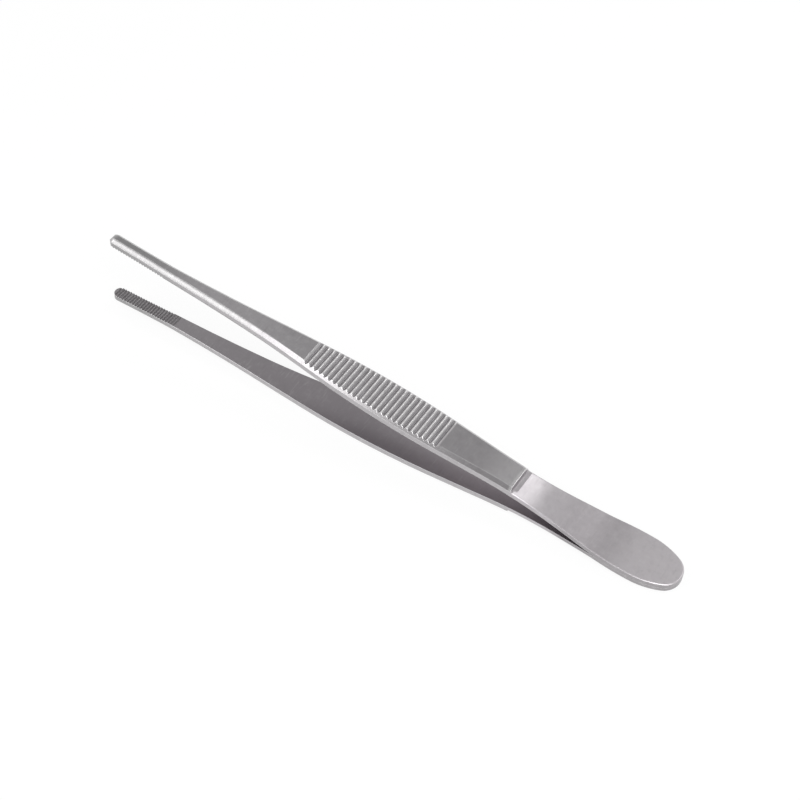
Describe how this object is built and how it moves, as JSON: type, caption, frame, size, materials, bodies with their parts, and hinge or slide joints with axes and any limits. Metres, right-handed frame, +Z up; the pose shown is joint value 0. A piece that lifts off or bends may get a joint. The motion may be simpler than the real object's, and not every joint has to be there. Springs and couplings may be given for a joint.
{
  "type": "thumb forceps",
  "caption": "Spring-action thumb forceps: two bowed steel arms joined at a flat rounded butt, with cross-ribbed finger grips, bevelled edges and serrated jaws that close when squeezed.",
  "frame": {"origin": "Centre of the footprint, on the surface that the forceps lie on.", "axes": "+X runs from the tips to the butt, +Y is across the arms, and +Z is up. The forceps lie on the ribbed flat of the lower arm, so the weld plane leans 4.2 degrees, tips up."},
  "size_m": [0.1402, 0.0108, 0.0215],
  "materials": {
    "steel": "satin"
  },
  "bodies": {
    "root": {"upper_arm": "steel", "lower_arm": "steel"}
  },
  "joints": []
}
